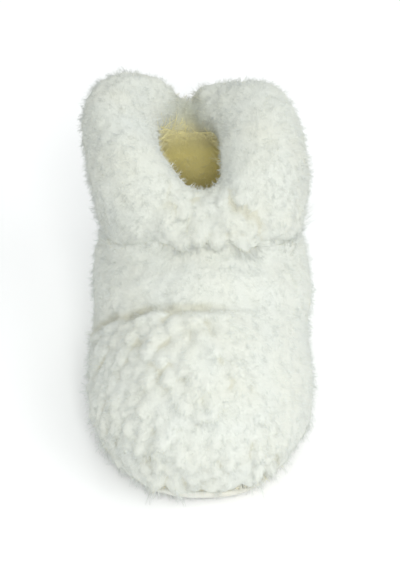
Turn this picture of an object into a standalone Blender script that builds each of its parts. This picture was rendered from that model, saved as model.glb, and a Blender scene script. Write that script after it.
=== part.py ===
"""Baby slipper: one ankle-high bootie of deep wool pile with a turned-down cuff and a soft flat sole.

Frame: metres, +Z up, toe towards -Y, heel towards +Y, floor at z = 0, origin under the middle of the shoe's box.
Sizes below are millimetres and are turned into metres when the meshes are made.
"""

import math
from collections import namedtuple

import bmesh
import bpy
import numpy as np

MM = 0.001
GAP = 0.3
RIM_GAP = 0.5

# Driving sizes of the last that the skin is sewn on
SKIN_HALF_LENGTH = 56.5
BALL_HALF_WIDTH = 28.5
INSTEP_HEIGHT = 52.0
HALFWAY_BACK = 18.0
COLLAR_HEIGHT = 84.0

# Wall: fleece lining inside the skin, wool pile outside it
LINING = 3.0
PILE = 10.5
PILE_AT_SOLE = 3.0
PILE_UNDER_CUFF = 5.0
LOCK_RISE = 2.6
LOCK_LEAN = 1.8

# Turned-down cuff
CUFF_SWELL = 1.5
ROLL_OVERHANG = 1.5
ROLL_TUFT = 1.8
LOBE_RISE_LEFT = 5.5
LOBE_RISE_RIGHT = 4.0
LOBE_OVERHANG_LEFT = 1.8
LOBE_OVERHANG_RIGHT = 2.2
LOBE_OVERHANG_ANGLE = math.radians(33)
LOBE_OVERHANG_HALF_ANGLE = math.radians(15)
LEFT_FLARE = 7.0
LEFT_FLARE_ANGLE = math.radians(-55)
LEFT_FLARE_HALF_ANGLE = math.radians(30)
NOTCH_DEPTH = 0.75
NOTCH_PINCH = 0.62
NOTCH_PINCH_AT_EDGE = 0.3
NOTCH_ANGLE = math.radians(-5.5)
NOTCH_HALF_ANGLE = math.radians(10)
COLLAR_LEAN = 2.0
COLLAR_SHIFT = 1.5

# Soft sole and footbed
SOLE_THICKNESS = 4.0
SOLE_LIP = 3.5
SOLE_LIP_TOE = 6.5
SOLE_EDGE_ROUND = 1.6
TOE_SPRING = 3.0
TOE_SPRING_RUN = 24.0
ARCH_RISE = 0.8
ARCH_CENTRE = 10.0
ARCH_HALF_RUN = 20.0
FOOTBED_THICKNESS = 3.5
FOOTBED_CUP = 1.5

# Seam where the toe piece meets the ankle piece: it leans back on its way down the sides
SEAM_Y_AT_INSTEP = -19.0
SEAM_LEAN = 0.66
SEAM_HALF_WIDTH_INSTEP = 5.0
SEAM_HALF_WIDTH_SOLE = 9.0
SEAM_DEPTH_INSTEP = 0.5
SEAM_DEPTH_SOLE = 0.25
SEAM_CALM = 0.9

# Faceting: three columns and four rings make one lock, whose tip hangs over the gap below it
COLUMNS = 66
LOCK_ROWS = 8
LOCK_ACROSS = (0.1, 0.9, 1.0)
LOCK_UPWARDS = (0.0, 1.0, 0.85, 0.45)
RINGS_PER_LOCK = len(LOCK_UPWARDS)
CUFF_LOCK_ROWS = 3
LINING_RINGS = 10
RUNG_SPANS = 4

# Sections of the skin from the sole seam up to the collar. toe, heel and widest are places along the foot as shares
# of the half length (toe negative), width is a share of the ball half width, the powers square off each end of the
# loop, and the heights are shares of the collar height.
Section = namedtuple("Section", "name toe heel widest width toe_power heel_power z_toe z_side z_heel")
SECTIONS = (
    Section("sole seam", -0.985, 0.985, -0.28, 0.930, 2.7, 2.6, 0.055, 0.055, 0.055),
    Section("toe bulge", -0.985, 1.000, -0.30, 0.985, 2.7, 2.6, 0.190, 0.150, 0.155),
    Section("toe round", -0.900, 0.995, -0.26, 1.000, 2.6, 2.6, 0.375, 0.250, 0.250),
    Section("toe top", -0.660, 0.980, -0.10, 0.990, 2.4, 2.6, 0.540, 0.350, 0.345),
    Section("instep seam", -0.370, 0.960, 0.08, 0.985, 2.2, 2.7, 0.640, 0.450, 0.430),
    Section("instep", -0.140, 0.930, 0.20, 0.940, 2.2, 2.8, 0.720, 0.550, 0.510),
    Section("cuff edge", 0.065, 0.890, 0.31, 0.830, 2.2, 3.0, 0.815, 0.665, 0.600),
    Section("shaft", 0.105, 0.850, 0.41, 0.700, 2.3, 3.2, 0.855, 0.830, 0.770),
    Section("collar", 0.130, 0.800, 0.47, 0.490, 2.3, 3.2, 0.890, 1.000, 0.985),
)

# Depth of the cuff's pile at its lower edge and at its top, and the height of its roll, round the shoe
CuffPlace = namedtuple("CuffPlace", "name edge_pile top_pile roll_height")
CUFF_TOE = CuffPlace("toe", 8.5, 8.0, 6.0)
CUFF_SIDE = CuffPlace("side", 11.5, 21.0, 11.0)
CUFF_HEEL = CuffPlace("heel", 12.5, 18.0, 11.0)

CUFF_EDGE = [row.name for row in SECTIONS].index("cuff edge")
COLLAR = len(SECTIONS) - 1
ABOVE_CUFF_EDGE = 0.2
UNDER_CUFF_LEVELS = (CUFF_EDGE + ABOVE_CUFF_EDGE, CUFF_EDGE + 0.8, CUFF_EDGE + 1.4, COLLAR)


def smooth_step(value):
    """0 below 0, 1 above 1 and an even rise between them."""
    t = np.clip(value, 0.0, 1.0)
    return t * t * (3.0 - 2.0 * t)


def wobble(*index):
    """A fixed, even-looking number from 0 to 1 for a lock or a column."""
    mixed = sum(step * k for step, k in zip((12.9898, 78.233, 37.719), index))
    return (math.sin(mixed) * 43758.5453) % 1.0


def angles():
    """Column angles round the shoe: 0 at the heel, a quarter turn at the +X side, half a turn at the toe."""
    return 2.0 * math.pi * np.arange(COLUMNS) / COLUMNS


def section_at(level):
    """The section table read at a fractional row, on a smooth curve through its rows."""
    rows = np.array([row[1:] for row in SECTIONS])
    low = int(min(max(math.floor(level), 0), len(rows) - 2))
    t = level - low
    before, start, end, after = (rows[min(max(low + k, 0), len(rows) - 1)] for k in (-1, 0, 1, 2))
    rise_in, rise_out = (end - before) / 2.0, (after - start) / 2.0
    bend = 2.0 * t**3 - 3.0 * t**2
    values = start * (1.0 + bend) - end * bend + rise_in * (t**3 - 2.0 * t**2 + t) + rise_out * (t**3 - t**2)
    return Section("between", *values)


def toe_spring(y):
    """How far the sole rises towards the tip of the toe."""
    return TOE_SPRING * np.clip((-SKIN_HALF_LENGTH + TOE_SPRING_RUN - y) / TOE_SPRING_RUN, 0.0, 1.3) ** 2


def sole_underside(y):
    """Height of the sole's underside: flat at heel and ball, a low arch between them and a rise at the toe."""
    arch = ARCH_RISE * (1.0 - np.clip(np.abs(y - ARCH_CENTRE) / ARCH_HALF_RUN, 0.0, 1.0) ** 2)
    return toe_spring(y) + arch


def angle_from_heel(theta):
    return np.abs((theta + math.pi) % (2.0 * math.pi) - math.pi)


def collar_lobes(theta):
    """Lift of the collar round its loop, highest at the back corners and a little lower on the right."""
    rise = LOBE_RISE_LEFT + (LOBE_RISE_RIGHT - LOBE_RISE_LEFT) * (0.5 + 0.5 * np.sin(theta))
    return rise * np.sin(np.clip(angle_from_heel(theta) / (0.75 * math.pi), 0.0, 1.0) * math.pi)


def back_notch(theta):
    """1 at the back seam, where the roll is pinched, and 0 away from it."""
    return np.exp(-((angle_from_heel(theta - NOTCH_ANGLE) / NOTCH_HALF_ANGLE) ** 2))


def lobe_overhang(theta):
    """How far the roll hangs in over the opening: most at the two lobes, and not at the back seam between them."""
    beside_seam = (angle_from_heel(theta - NOTCH_ANGLE) - LOBE_OVERHANG_ANGLE) / LOBE_OVERHANG_HALF_ANGLE
    lobe = np.where(np.sin(theta - NOTCH_ANGLE) > 0.0, LOBE_OVERHANG_RIGHT, LOBE_OVERHANG_LEFT)
    return (ROLL_OVERHANG + lobe * np.exp(-(beside_seam**2))) * (1.0 - back_notch(theta))


def left_flare(theta):
    """Extra depth of wool at the top of the left lobe, which spreads wider than the right one."""
    return LEFT_FLARE * np.exp(-((angle_from_heel(theta - LEFT_FLARE_ANGLE) / LEFT_FLARE_HALF_ANGLE) ** 2))


def round_the_cuff(size, theta):
    """A cuff size at each angle, read between its values at the toe, the sides and the heel."""
    toe, side, heel = (getattr(place, size) for place in (CUFF_TOE, CUFF_SIDE, CUFF_HEEL))
    return side + (np.where(np.cos(theta) >= 0.0, heel, toe) - side) * np.cos(theta) ** 2


def skin(theta, level):
    """Points of the skin, the sewn surface that the wall is measured from."""
    row = section_at(level)
    along, across = np.cos(theta), np.sin(theta)
    heel_side = along >= 0.0
    power = np.where(heel_side, row.heel_power, row.toe_power)
    reach = np.where(heel_side, row.heel - row.widest, row.widest - row.toe) * SKIN_HALF_LENGTH
    x = BALL_HALF_WIDTH * row.width * np.sign(across) * np.abs(across) ** (2.0 / power)
    x = x - (COLLAR_LEAN * along + COLLAR_SHIFT) * smooth_step(level - COLLAR + 1.0)
    y = row.widest * SKIN_HALF_LENGTH + np.sign(along) * reach * np.abs(along) ** (2.0 / power)
    end_height = np.where(heel_side, row.z_heel, row.z_toe)
    z = COLLAR_HEIGHT * (row.z_side + (end_height - row.z_side) * along**2)
    z = z + toe_spring(y) * (1.0 - smooth_step(level / 2.0))
    z = z + collar_lobes(theta) * smooth_step(level - COLLAR + 1.0)
    return np.stack([x, y, z], axis=-1)


def directions(theta, level):
    """Outward normals of the skin and the upward directions along its wall."""
    turn, climb = 0.03, 0.03
    round_the_shoe = skin(theta + turn, level) - skin(theta - turn, level)
    top, bottom = min(level + climb, COLLAR), max(level - climb, 0.0)
    up = skin(theta, top) - skin(theta, bottom)
    out = np.cross(up, round_the_shoe)
    out[:, 2] *= smooth_step(level / 0.8)
    out *= np.sign(np.sum(out * (skin(theta, level) - [0.0, 10.0, 20.0]), axis=1, keepdims=True))
    return out / np.linalg.norm(out, axis=1, keepdims=True), up / np.linalg.norm(up, axis=1, keepdims=True)


def wall_ring(level, offset, lift=0.0):
    """One ring at a level of the wall, offset outwards from the skin and lifted along the wall."""
    theta = angles()
    out, up = directions(theta, level)
    return skin(theta, level) + out * np.reshape(offset, (-1, 1)) + up * np.reshape(lift, (-1, 1))


def seam_trough(points):
    """1 on the seam between toe piece and ankle piece, 0 away from it, and the depth of its trough."""
    rise = np.clip(points[:, 2] / INSTEP_HEIGHT, 0.0, 1.0)
    seam_y = SEAM_Y_AT_INSTEP + SEAM_LEAN * (INSTEP_HEIGHT - points[:, 2])
    half_width = SEAM_HALF_WIDTH_SOLE + (SEAM_HALF_WIDTH_INSTEP - SEAM_HALF_WIDTH_SOLE) * rise
    depth = SEAM_DEPTH_SOLE + (SEAM_DEPTH_INSTEP - SEAM_DEPTH_SOLE) * rise
    return np.exp(-(((points[:, 1] - seam_y) / half_width) ** 2)), depth


def lock_pattern(lock_row, ring_in_lock):
    """Rise of each column in one ring of a row of locks, shifted sideways and of mixed sizes from lock to lock."""
    shift = (lock_row * 2 + lock_row // 3) % len(LOCK_ACROSS)
    rise = np.zeros(COLUMNS)
    for column in range(COLUMNS):
        lock, place = divmod((column + shift) % COLUMNS, len(LOCK_ACROSS))
        size = 0.55 + 0.65 * wobble(lock, lock_row)
        rise[column] = LOCK_UPWARDS[ring_in_lock] * LOCK_ACROSS[place] * size
    return rise


def upper_pile(level, points):
    """Depth of the wool on the upper before its locks: short at the sole, full above it, short under the cuff."""
    toe_share = np.clip(-points[:, 1] / SKIN_HALF_LENGTH, 0.0, 1.0)
    full = PILE_AT_SOLE + (PILE - PILE_AT_SOLE) * smooth_step(level / (1.2 + 0.8 * toe_share))
    on_seam, seam_depth = seam_trough(points)
    full = full * (1.0 - seam_depth * on_seam)
    at_instep = smooth_step((HALFWAY_BACK - points[:, 1]) / HALFWAY_BACK)
    tuck = smooth_step((level - CUFF_EDGE + 0.7 + 0.8 * at_instep) / (0.55 + 0.8 * at_instep))
    return full * (1.0 - tuck) + PILE_UNDER_CUFF * tuck


def upper_rings():
    """Rings of the upper's hollow wall: up the outside, over the rim and down the lining."""
    rings = []
    steps = LOCK_ROWS * RINGS_PER_LOCK
    for step in range(steps + 1):
        level = CUFF_EDGE * step / steps
        base = wall_ring(level, np.zeros(COLUMNS))
        inside_lock = smooth_step((level - 0.2) / 0.5) * smooth_step((CUFF_EDGE - 0.2 - level) / 0.5)
        lock = lock_pattern(step // RINGS_PER_LOCK, step % RINGS_PER_LOCK) * inside_lock
        lock = lock * (1.0 - SEAM_CALM * seam_trough(base)[0])
        rings.append(wall_ring(level, upper_pile(level, base) + LOCK_RISE * lock, -LOCK_LEAN * lock))
    for level in UNDER_CUFF_LEVELS:
        rings.append(wall_ring(level, np.full(COLUMNS, PILE_UNDER_CUFF)))
    for level in np.linspace(COLLAR, 0.0, LINING_RINGS):
        rings.append(wall_ring(level, np.full(COLUMNS, -LINING)))
    for ring in (rings[0], rings[-1]):
        ring[:, 2] = sole_underside(ring[:, 1]) + SOLE_THICKNESS + GAP
    return rings


def cuff_rings():
    """Rings of the cuff: up its outside in locks, over the roll to the inner edge, and back down against the upper."""
    theta = angles()
    low = UNDER_CUFF_LEVELS[0]
    edge_pile, top_pile, roll = (round_the_cuff(size, theta) for size in CuffPlace._fields[1:])
    notch = back_notch(theta)
    edge_pile = edge_pile * (1.0 - NOTCH_PINCH_AT_EDGE * notch)
    top_pile = top_pile * (1.0 - NOTCH_PINCH * notch) + left_flare(theta)
    rings = [wall_ring(low - 0.1, edge_pile - 2.5)]
    steps = CUFF_LOCK_ROWS * RINGS_PER_LOCK
    for step in range(steps + 1):
        share = step / steps
        swell = CUFF_SWELL * math.sin(math.pi * share)
        depth = edge_pile + (top_pile - edge_pile) * share + swell
        lock = lock_pattern(step // RINGS_PER_LOCK, (step + 1) % RINGS_PER_LOCK) * smooth_step(4.0 * (1.0 - share))
        rings.append(wall_ring(low + (COLLAR - low) * share, depth + LOCK_RISE * lock, -LOCK_LEAN * lock))
    inner = -LINING - lobe_overhang(theta)
    middle, half_width = (top_pile + inner) / 2.0, (top_pile - inner) / 2.0
    height = roll * (1.0 - NOTCH_DEPTH * notch)
    for turn in np.radians((25, 50, 75, 100, 125, 150)):
        tuft = np.array([wobble(column, int(100 * turn)) for column in range(COLUMNS)]) - 0.5
        tuft = ROLL_TUFT * tuft * height / CUFF_SIDE.roll_height
        rings.append(wall_ring(COLLAR, middle + half_width * math.cos(turn) + tuft, height * math.sin(turn) + tuft))
    rings.append(wall_ring(COLLAR, inner, np.full(COLUMNS, 1.5)))
    rings.append(wall_ring(COLLAR, np.full(COLUMNS, -LINING), np.full(COLUMNS, RIM_GAP)))
    rings.append(wall_ring(COLLAR, np.full(COLUMNS, PILE_UNDER_CUFF + GAP), np.full(COLUMNS, RIM_GAP)))
    for level in UNDER_CUFF_LEVELS[-2::-1]:
        rings.append(wall_ring(level, np.full(COLUMNS, PILE_UNDER_CUFF + GAP)))
    return rings


def sole_outline(extra_toe, extra):
    """The skin's loop at the sole seam, moved out by extra, and by extra_toe at the tip of the toe."""
    theta = angles()
    toe_share = np.clip(-np.cos(theta), 0.0, 1.0) ** 3
    return wall_ring(0.0, extra + (extra_toe - extra) * toe_share)


def sole_rings():
    """Rings round the sole's edge, from its underside to its top, with a rounded edge."""
    edge = ((SOLE_EDGE_ROUND, 0.0), (0.4, 0.35), (0.0, 0.65), (0.5, 1.0))
    rings = []
    for inset, share in edge:
        ring = sole_outline(SOLE_LIP_TOE - inset, SOLE_LIP - inset)
        ring[:, 2] = sole_underside(ring[:, 1]) + share * SOLE_THICKNESS
        rings.append(ring)
    return rings


def footbed_rings():
    """Rings round the footbed's edge, inside the lining and just above the sole."""
    rings = []
    for inset, share in ((0.5, 0.0), (0.5, 0.6), (1.6, 1.0)):
        ring = sole_outline(-LINING - inset, -LINING - inset)
        ring[:, 2] = sole_underside(ring[:, 1]) + SOLE_THICKNESS + GAP + share * FOOTBED_THICKNESS
        rings.append(ring)
    return rings


def centred(pieces):
    """The pieces' rings moved so that the origin lies under the middle of the box round all of them."""
    points = np.concatenate([ring for rings in pieces.values() for ring in rings])
    middle = (points.min(axis=0) + points.max(axis=0)) / 2.0
    middle[2] = 0.0
    return {name: [ring - middle for ring in rings] for name, rings in pieces.items()}


def add_loop(mesh, ring):
    return [mesh.verts.new(point * MM) for point in ring]


def bridge(mesh, lower, upper):
    """Triangles between two rings, all split the same way so that facing walls stay apart."""
    count = len(lower)
    for column in range(count):
        nxt = (column + 1) % count
        mesh.faces.new((lower[column], lower[nxt], upper[nxt]))
        mesh.faces.new((lower[column], upper[nxt], upper[column]))


def fill_ladder(mesh, loop, dish):
    """Closes a loop with rungs from side to side, each in RUNG_SPANS spans, lowered by dish in the middle."""
    half = COLUMNS // 2
    rungs = [[loop[0]]]
    for column in range(1, half):
        left, right = loop[COLUMNS - column], loop[column]
        rung = [left]
        for span in range(1, RUNG_SPANS):
            share = span / RUNG_SPANS
            point = left.co.lerp(right.co, share)
            point.z -= dish * MM * math.sin(math.pi * share)
            rung.append(mesh.verts.new(point))
        rungs.append([*rung, right])
    rungs.append([loop[half]])
    for near, far in zip(rungs, rungs[1:]):
        for span in range(RUNG_SPANS):
            corners = [near[min(span, len(near) - 1)], near[min(span + 1, len(near) - 1)]]
            corners += [far[min(span + 1, len(far) - 1)], far[min(span, len(far) - 1)]]
            mesh.faces.new(list(dict.fromkeys(corners)))


def material(name, colour, roughness):
    made = bpy.data.materials.new(name)
    made.use_nodes = True
    shader = made.node_tree.nodes["Principled BSDF"]
    shader.inputs["Base Color"].default_value = (*colour, 1.0)
    shader.inputs["Roughness"].default_value = roughness
    shader.inputs["Metallic"].default_value = 0.0
    made.diffuse_color = (*colour, 1.0)
    return made


def finish(name, mesh, look):
    """Turns a closed bmesh into a named object whose faces point out."""
    bmesh.ops.recalc_face_normals(mesh, faces=mesh.faces)
    data = bpy.data.meshes.new(name)
    mesh.to_mesh(data)
    mesh.free()
    data.shade_smooth()
    data.materials.append(look)
    made = bpy.data.objects.new(name, data)
    bpy.context.scene.collection.objects.link(made)
    return made


def hollow_piece(name, rings, look):
    """A closed wall whose rings run up one side and down the other, the last joined to the first."""
    mesh = bmesh.new()
    loops = [add_loop(mesh, ring) for ring in rings]
    for lower, upper in zip(loops, loops[1:] + loops[:1]):
        bridge(mesh, lower, upper)
    return finish(name, mesh, look)


def flat_piece(name, rings, look, dish):
    """A plate with rings round its edge, closed underneath and on top."""
    mesh = bmesh.new()
    loops = [add_loop(mesh, ring) for ring in rings]
    for lower, upper in zip(loops, loops[1:]):
        bridge(mesh, lower, upper)
    fill_ladder(mesh, loops[0], 0.0)
    fill_ladder(mesh, loops[-1], dish)
    return finish(name, mesh, look)


def main():
    for old in list(bpy.data.objects):
        bpy.data.objects.remove(old)
    wool = material("wool_pile", (0.86, 0.87, 0.80), 0.95)
    suede = material("soft_suede", (0.80, 0.81, 0.76), 0.85)
    fleece = material("fleece", (0.80, 0.75, 0.55), 0.95)
    rings = centred({
        "outsole": sole_rings(),
        "insole": footbed_rings(),
        "upper": upper_rings(),
        "cuff": cuff_rings()[::-1],
    })
    flat_piece("outsole", rings["outsole"], suede, 0.0)
    flat_piece("insole", rings["insole"], fleece, FOOTBED_CUP)
    hollow_piece("upper", rings["upper"], wool)
    hollow_piece("cuff", rings["cuff"], wool)


main()
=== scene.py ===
"""Looks of the baby slipper: wool pile on upper and cuff, fleece lining and footbed, and a soft suede sole.

The frame is that of the CAD solids: metres, +Z up, toe towards -Y. The wool and its places are worked out in
millimetres, and the studio and the camera are in metres.
"""

import math
from collections import namedtuple

import bmesh
import bpy
import numpy as np
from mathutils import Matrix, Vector, noise
from mathutils.bvhtree import BVHTree
from mathutils.kdtree import KDTree


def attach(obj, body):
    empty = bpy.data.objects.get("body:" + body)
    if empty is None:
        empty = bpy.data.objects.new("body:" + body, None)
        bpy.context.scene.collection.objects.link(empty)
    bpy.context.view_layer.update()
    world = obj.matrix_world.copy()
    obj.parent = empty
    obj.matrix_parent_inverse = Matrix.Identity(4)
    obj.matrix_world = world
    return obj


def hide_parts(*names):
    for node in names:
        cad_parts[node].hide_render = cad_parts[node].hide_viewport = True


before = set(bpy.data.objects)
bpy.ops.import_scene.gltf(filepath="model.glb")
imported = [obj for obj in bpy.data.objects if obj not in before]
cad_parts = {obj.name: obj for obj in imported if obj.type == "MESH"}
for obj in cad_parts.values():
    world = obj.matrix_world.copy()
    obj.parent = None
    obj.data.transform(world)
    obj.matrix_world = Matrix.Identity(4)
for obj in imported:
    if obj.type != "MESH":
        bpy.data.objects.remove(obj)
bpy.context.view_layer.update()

MM = 0.001

# The seam between toe piece and ankle piece: y = SEAM_Y + SEAM_LEAN * (SEAM_TOP - z)
SEAM_Y, SEAM_LEAN, SEAM_TOP = -20.25, 0.66, 52.0

# Other places on the slipper, and the lowest height at which its wool has locks
MIDDLE_X = 0.3
TOE_CROWN = np.array([MIDDLE_X, -22.0, 60.0])
COLLAR_MIDDLE = np.array([MIDDLE_X, 24.0, 92.0])
SOLE_MIDDLE = np.array([MIDDLE_X, -2.0])
LOWEST_LOCK = 5.2

# Moves of the collar: the place, how far the move reaches along each axis, and the way it goes
COLLAR_MOVES = {
    "left lobe": ((-31.0, 35.0, 95.0), (9.0, 16.0, 9.0), (-2.0, 0.0, 2.2)),
    "right lobe": ((24.0, 38.0, 97.0), (9.0, 16.0, 9.0), (1.5, 0.0, 2.2)),
    "beside the notch": ((7.0, 46.0, 97.0), (9.0, 16.0, 9.0), (-1.5, 0.0, -1.5)),
    "front rim": ((3.0, 6.0, 80.0), (12.0, 9.0, 9.0), (0.0, 2.0, 2.5)),
    "notch": ((-4.0, 42.0, 91.0), (8.0, 6.0, 7.0), (0.0, 2.0, -4.5)),
}

# Mesh grain of the beds and of their shared skin
BED_GRAIN, SKIN_GRAIN = 0.9, 1.1

# The skin: how near both beds come where they count as meeting, and its rounds of smoothing
MEETING_GAP = 1.8
SKIN_ROUNDS = 600

# Fibres: how deep their roots sit in the bed, and the least height above the floor
ROOT_DEPTH = 0.6
LEAST_HEIGHT = 0.6

# Stitches: their line's inset from the sole's rim and height above the lip, then their sizes
STITCH_INSET, STITCH_LIFT = 1.3, 0.1
STITCH_PITCH, STITCH_LENGTH, STITCH_RADIUS = 3.4, 2.2, 0.35

# How the wool lies. Locks: spacing, stretch along the flow, rise, slide down the flow, and slow swell of the
# bed. Fibres: length, lean, curl and gather towards their lock's crest.
Nap = namedtuple("Nap", "spacing stretch rise slide swell length lean curl gather")
TOE_CURLS = Nap(7.2, 1.65, 3.5, 1.8, 0.4, 2.4, 0.50, 0.45, 0.15)
TOE_LOCKS = Nap(6.2, 2.3, 3.8, 2.2, 0.4, 2.8, 0.60, 0.40, 0.15)
TOE_SIDE_LOCKS = Nap(5.8, 1.9, 2.8, 1.6, 0.4, 2.4, 0.55, 0.40, 0.15)
TOE_BRUSHED = Nap(7.0, 1.6, 0.7, 0.6, 0.7, 2.0, 0.50, 0.40, 0.05)
ANKLE_FLUFF = Nap(6.5, 1.4, 0.9, 0.6, 1.0, 2.3, 0.45, 0.45, 0.05)
CUFF_NAP = Nap(6.5, 1.3, 1.2, 0.6, 1.2, 2.2, 0.40, 0.40, 0.05)
CUFF_TUFTS = Nap(7.2, 1.7, 4.9, 2.5, 0.4, 2.4, 0.55, 0.40, 0.15)
RIM_NAP = Nap(5.0, 1.0, 0.5, 0.3, 0.4, 2.0, 0.40, 0.40, 0.05)
LINING_PILE = Nap(5.0, 1.0, 0.0, 0.0, 0.0, 1.9, 0.40, 0.50, 0.00)


def smooth_step(value):
    """0 below 0, 1 above 1 and an even rise between them."""
    t = np.clip(value, 0.0, 1.0)
    return t * t * (3.0 - 2.0 * t)


def rise(value, start, end):
    """0 at start, 1 at end, smoothly between them."""
    return smooth_step((value - start) / (end - start))


def unit(vectors):
    return vectors / np.maximum(np.linalg.norm(vectors, axis=1, keepdims=True), 1e-9)


def along_surface(vectors, normals):
    """The part of each vector that lies in the surface, as a unit vector."""
    return unit(vectors - normals * np.sum(vectors * normals, axis=1, keepdims=True))


def soft_noise(points, size, seed):
    """Smooth noise from about -1 to 1 with features of the given size."""
    shift = Vector((seed * 7.3, seed * 3.1, seed * 5.7))
    return np.array([noise.noise(Vector(p) / size + shift) for p in points])


# Plain mesh help

def welded(node):
    """A bmesh copy of a CAD node with its loose triangles joined and paired into quads."""
    mesh = bmesh.new()
    mesh.from_mesh(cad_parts[node].data)
    bmesh.ops.remove_doubles(mesh, verts=mesh.verts, dist=0.00002)
    bmesh.ops.join_triangles(mesh, faces=mesh.faces, angle_face_threshold=1.2, angle_shape_threshold=3.1)
    return mesh


def new_object(name, data):
    made = bpy.data.objects.new(name, data)
    bpy.context.scene.collection.objects.link(made)
    return made


def mesh_of(made):
    """The object's mesh after its modifiers, as a plain mesh."""
    evaluated = made.evaluated_get(bpy.context.evaluated_depsgraph_get())
    return bpy.data.meshes.new_from_object(evaluated, preserve_all_data_layers=True,
                                           depsgraph=bpy.context.evaluated_depsgraph_get())


def applied(made):
    """Leaves the object with the result of its modifiers as its mesh."""
    data = mesh_of(made)
    made.modifiers.clear()
    made.data = data
    data.name = made.name
    return made


def points_of(data):
    flat = np.empty(len(data.vertices) * 3, dtype=np.float32)
    data.vertices.foreach_get("co", flat)
    return flat.reshape(-1, 3).astype(float) / MM


def normals_of(data):
    flat = np.empty(len(data.vertices) * 3, dtype=np.float32)
    data.vertices.foreach_get("normal", flat)
    return flat.reshape(-1, 3).astype(float)


def move_points(data, points):
    data.vertices.foreach_set("co", (points * MM).astype(np.float32).ravel())
    data.update()


def relaxed(data, points, rounds, share=0.5, outwards=None):
    """Points moved towards the mean of their neighbours, by one share or by a column of shares.

    Given outwards, they move only that way, which fills hollows and leaves crests as they are.
    """
    flat = np.empty(len(data.edges) * 2, dtype=np.int32)
    data.edges.foreach_get("vertices", flat)
    one, two = flat.reshape(-1, 2).T
    count = np.bincount(flat, minlength=len(points))[:, None]
    for _ in range(rounds):
        total = np.zeros_like(points)
        for axis in range(points.shape[1]):
            total[:, axis] = np.bincount(one, points[two, axis], len(points))
            total[:, axis] += np.bincount(two, points[one, axis], len(points))
        step = share * (total / count - points)
        if outwards is not None:
            step = step * (np.sum(step * outwards, axis=1, keepdims=True) > 0.0)
        points = points + step
    return points


def tree_of(points):
    tree = KDTree(len(points))
    for place, point in enumerate(points):
        tree.insert(point, place)
    tree.balance()
    return tree


def distance_to(tree, points):
    return np.array([tree.find(point)[2] for point in points])


def keep(data, name, values):
    """Stores numbers or vectors on the mesh's points under a name."""
    values = np.asarray(values, dtype=np.float32)
    kind, field = ("FLOAT_VECTOR", "vector") if values.ndim == 2 else ("FLOAT", "value")
    data.attributes.new(name, kind, "POINT").data.foreach_set(field, values.ravel())


# Beds of wool: the CAD solids with their coarse locks smoothed out and fine ones raised

def bed(node, name, rough, smoothing, grain):
    """The welded node, meshed evenly, its coarse locks smoothed out where rough(points, normals) is true."""
    mesh = welded(node)
    mesh.normal_update()
    points = np.array([vertex.co for vertex in mesh.verts]) / MM
    normals = np.array([vertex.normal for vertex in mesh.verts])
    picked = [vertex for vertex, is_rough in zip(mesh.verts, rough(points, normals)) if is_rough]
    for _ in range(smoothing):
        bmesh.ops.smooth_vert(mesh, verts=picked, factor=0.5,
                              use_axis_x=True, use_axis_y=True, use_axis_z=True)
    data = bpy.data.meshes.new(name)
    mesh.to_mesh(data)
    mesh.free()
    made = evened(new_object(name, data), grain)
    move_points(made.data, relaxed(made.data, points_of(made.data), 5))
    return made


def evened(made, grain):
    """The object with an even mesh of the given grain."""
    even = made.modifiers.new("even", "REMESH")
    even.mode = "VOXEL"
    even.voxel_size = grain * MM
    return applied(made)


Skin = namedtuple("Skin", "lines first smoothed")


def shared_skin(one, two):
    """Two beds taken as one skin, smoothed along the lines where they meet."""
    mesh = bmesh.new()
    mesh.from_mesh(one.data)
    mesh.from_mesh(two.data)
    data = bpy.data.meshes.new("skin")
    mesh.to_mesh(data)
    mesh.free()
    made = evened(new_object("skin", data), SKIN_GRAIN)
    points = points_of(made.data)
    gaps = [distance_to(tree_of(points_of(piece.data)), points) for piece in (one, two)]
    lines = tree_of(points[np.maximum(*gaps) < MEETING_GAP])
    normals = normals_of(made.data)
    outside = rise(np.sum(from_collar(points) * normals, axis=1), -0.5, 0.0)
    near = 1.0 - rise(distance_to(lines, points) - 5.0 * outside, 3.0, 8.0 + 6.0 * outside)
    smoothed = relaxed(made.data, points, SKIN_ROUNDS, 0.6 * near[:, None], normals)
    faces = [tuple(face.vertices) for face in made.data.polygons]
    bpy.data.objects.remove(made)
    return Skin(lines, *(BVHTree.FromPolygons(shape.tolist(), faces) for shape in (points, smoothed)))


def lay_on(skin, made, tuck):
    """Draws a bed to the smoothed skin near the meeting lines.

    Where the other bed covers it, it goes under by tuck. Returns each point's distance from the lines.
    """
    points = points_of(made.data)
    reach = distance_to(skin.lines, points)
    near = 1.0 - rise(reach, 11.0, 19.0)
    under = 1.0 - rise(reach, 2.0, 7.0)
    for index in np.flatnonzero(near > 0.001):
        depth = skin.first.find_nearest(points[index])[3]
        spot, up, _, _ = skin.smoothed.find_nearest(points[index])
        covered = rise(depth, 0.7, 2.0)
        shown = near[index] * (1.0 - covered)
        tucked = under[index] * covered
        target = np.array(spot) - np.array(up) * tuck * covered
        points[index] += (target - points[index]) * (shown + tucked)
    move_points(made.data, relaxed(made.data, points, 4, 0.4 * near[:, None]))
    return reach


def blended(weights):
    """One array for each nap value, mixed by the weights of the naps at each point."""
    total = np.maximum(sum(weights.values()), 1e-9)
    means = {}
    for field in Nap._fields:
        means[field] = sum(weight * getattr(nap, field) for nap, weight in weights.items()) / total
    return Nap(**means)


def lock_centres(points, spacing, allowed, seed):
    """Indices of points that stand at least their own spacing apart."""
    order = np.random.default_rng(seed).permutation(len(points))
    free = allowed.copy()
    chosen = []
    for index in order:
        if not free[index]:
            continue
        chosen.append(index)
        free &= np.sum((points - points[index]) ** 2, axis=1) > spacing[index] ** 2
    return np.array(chosen)


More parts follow.
